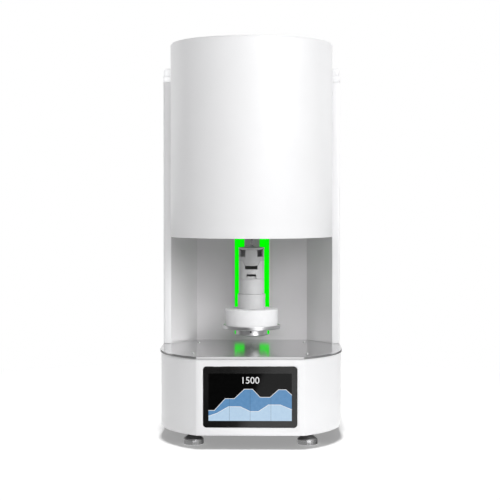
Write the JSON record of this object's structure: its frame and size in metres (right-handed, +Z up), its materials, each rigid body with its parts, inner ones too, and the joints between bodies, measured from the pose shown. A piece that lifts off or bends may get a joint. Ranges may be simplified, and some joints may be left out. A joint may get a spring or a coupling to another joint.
{
  "type": "dental sintering furnace",
  "caption": "Bench-top sintering furnace: round furnace head on a column, lift platform that raises a ceramic crucible into it, lit loading bay, base with touch screen and levelling feet.",
  "frame": {"origin": "centre of the bounding box's base, on the surface that the feet stand on", "axes": "+Z up along the chamber's axis, -Y towards the front with the touch screen, +X to the right seen from the front"},
  "size_m": [0.3572, 0.414, 0.7703],
  "materials": {
    "white_paint": "gloss powder coat",
    "bay_paint": "satin",
    "brushed_steel": "satin",
    "steel": "polished",
    "dark_steel": "matte",
    "chrome": "polished",
    "aluminium": "satin",
    "brass": "satin",
    "glass_black": "gloss",
    "black_plastic": "satin",
    "grey_rubber": "matte",
    "light_green": "satin",
    "fibre": "matte",
    "ceramic": "satin",
    "element": "satin",
    "board": "satin"
  },
  "bodies": {
    "cabinet": {"base_skirt": "white_paint", "base_pan": "dark_steel", "base_rear_panel": "white_paint", "deck_plate": "brushed_steel", "screen_glass": "glass_black", "display_module": "black_plastic", "control_board": "board", "power_transformer": "dark_steel", "power_supply": "aluminium", "fan_frame": "black_plastic", "power_inlet": "black_plastic", "switch_housing": "black_plastic", "column_side_left": "white_paint", "column_side_right": "white_paint", "rear_cover": "white_paint", "column_trim_band": "white_paint", "column_top_cap": "white_paint", "alcove_liner": "bay_paint", "light_bar_left": "light_green", "light_bar_right": "light_green", "slot_lip_left": "grey_rubber", "slot_lip_right": "grey_rubber", "head_shell": "white_paint", "head_top_cover": "white_paint", "head_bottom_plate": "steel", "heat_shield": "steel", "throat_ring": "fibre", "insulation_ring": "fibre", "insulation_cap": "fibre", "element_holder": "ceramic", "heating_element_1": "element", "heating_element_2": "element", "heating_element_3": "element", "heating_element_4": "element", "thermocouple": "ceramic", "chassis_plate": "dark_steel", "lower_block": "aluminium", "upper_block": "aluminium", "guide_rod_left": "steel", "guide_rod_right": "steel", "lift_motor": "dark_steel"},
    "lift": {"lift_carriage": "aluminium", "lead_nut": "brass", "lift_arm": "steel", "platform_hub": "steel", "platform_flange": "steel", "insulating_plug": "fibre", "pedestal_base": "ceramic", "pedestal_tube": "ceramic"},
    "screw": {"shaft_coupling": "aluminium", "lead_screw": "steel"},
    "lower_crucible": {"crucible_lower": "ceramic"},
    "upper_crucible": {"crucible_upper": "ceramic"},
    "lid": {"crucible_lid": "ceramic"},
    "rotor": {"fan_rotor": "black_plastic"},
    "rocker": {"power_rocker": "black_plastic"},
    "front_left_foot": {"foot_front_left": "chrome"},
    "front_right_foot": {"foot_front_right": "chrome"},
    "rear_left_foot": {"foot_rear_left": "chrome"},
    "rear_right_foot": {"foot_rear_right": "chrome"}
  },
  "joints": [
    {"name": "lift_slide", "type": "slide", "parent": "cabinet", "child": "lift", "axis": [0, 0, 1], "range_m": [0, 0.176]},
    {"name": "screw_spin", "type": "hinge", "parent": "cabinet", "child": "screw", "pos_m": [0, 0.119, 0.096], "axis": [0, 0, 1], "range_deg": [-7921, 0]},
    {"name": "lower_crucible_lift", "type": "slide", "parent": "lift", "child": "lower_crucible", "axis": [0, 0, 1], "range_m": [0, 0.01]},
    {"name": "upper_crucible_lift", "type": "slide", "parent": "lower_crucible", "child": "upper_crucible", "axis": [0, 0, 1], "range_m": [0, 0.012]},
    {"name": "lid_lift", "type": "slide", "parent": "upper_crucible", "child": "lid", "axis": [0, 0, 1], "range_m": [0, 0.006]},
    {"name": "fan_spin", "type": "hinge", "parent": "cabinet", "child": "rotor", "pos_m": [-0.102, 0.1822, 0.094], "axis": [0, 1, 0], "continuous": true},
    {"name": "power_switch", "type": "hinge", "parent": "cabinet", "child": "rocker", "pos_m": [0.074, 0.2016, 0.066], "axis": [1, 0, 0], "range_deg": [-14, 0]},
    {"name": "foot_front_left_adjust", "type": "slide", "parent": "cabinet", "child": "front_left_foot", "axis": [0, 0, 1], "range_m": [-0.008, 0]},
    {"name": "foot_front_right_adjust", "type": "slide", "parent": "cabinet", "child": "front_right_foot", "axis": [0, 0, 1], "range_m": [-0.008, 0]},
    {"name": "foot_rear_left_adjust", "type": "slide", "parent": "cabinet", "child": "rear_left_foot", "axis": [0, 0, 1], "range_m": [-0.008, 0]},
    {"name": "foot_rear_right_adjust", "type": "slide", "parent": "cabinet", "child": "rear_right_foot", "axis": [0, 0, 1], "range_m": [-0.008, 0]}
  ],
  "couplings": [
    {"joint": "screw_spin", "follows": "lift_slide", "rad_per_m": -785.4}
  ]
}
